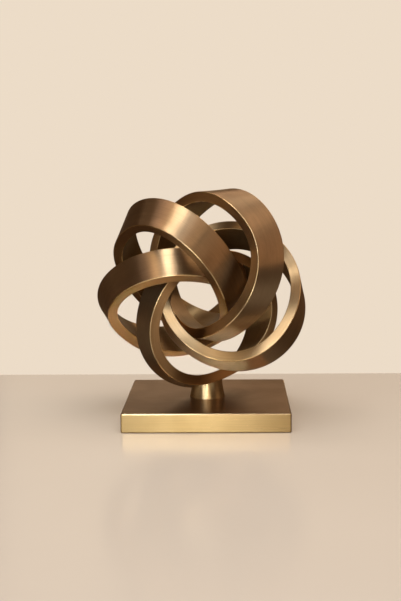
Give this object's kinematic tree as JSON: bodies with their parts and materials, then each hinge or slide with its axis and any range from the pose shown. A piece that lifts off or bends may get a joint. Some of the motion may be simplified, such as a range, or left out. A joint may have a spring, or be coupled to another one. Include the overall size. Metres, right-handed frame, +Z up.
{
  "type": "linked loop table sculpture",
  "caption": "Table sculpture: wide flat-bar loops linked into an open knot, held by a short tapered stem at the middle of a square plate.",
  "frame": {"origin": "centre of the felt's underside, on the surface that the sculpture stands on", "axes": "+Z up, -Y towards the viewer, +X to the viewer's right along the plate's front edge"},
  "size_m": [0.2586, 0.2202, 0.2818],
  "materials": {
    "loop_bronze": "cast and ground flat bar, plated and toned dark bronze, brushed along the bar, long edges rubbed back to bright",
    "plate_bronze": "satin dark bronze top, brushed brassy edge faces and bright bevel",
    "stem_brass": "turned and brushed brass",
    "zinc_steel": "zinc plated",
    "dowel_steel": "ground steel",
    "weld": "dressed weld metal, toned dark bronze",
    "felt": "dense black felt"
  },
  "bodies": {
    "root": {"base_plate": "plate_bronze", "base_felt": "felt", "stem": "stem_brass", "stem_stud": "zinc_steel", "stud_washer": "zinc_steel", "stud_spring_washer": "zinc_steel", "stud_nut": "zinc_steel", "stem_base_dowels": "dowel_steel", "stem_saddle_dowel": "dowel_steel", "loop_seam_dowels": "dowel_steel", "loop_weld_tacks": "weld", "upper_right_loop_outer_half": "loop_bronze", "upper_right_loop_inner_half": "loop_bronze", "upper_left_loop_outer_half": "loop_bronze", "upper_left_loop_inner_half": "loop_bronze", "left_loop_outer_half": "loop_bronze", "left_loop_inner_half": "loop_bronze", "lower_loop_outer_half": "loop_bronze", "lower_loop_inner_half": "loop_bronze", "right_loop_outer_half": "loop_bronze", "right_loop_inner_half": "loop_bronze"}
  },
  "joints": []
}
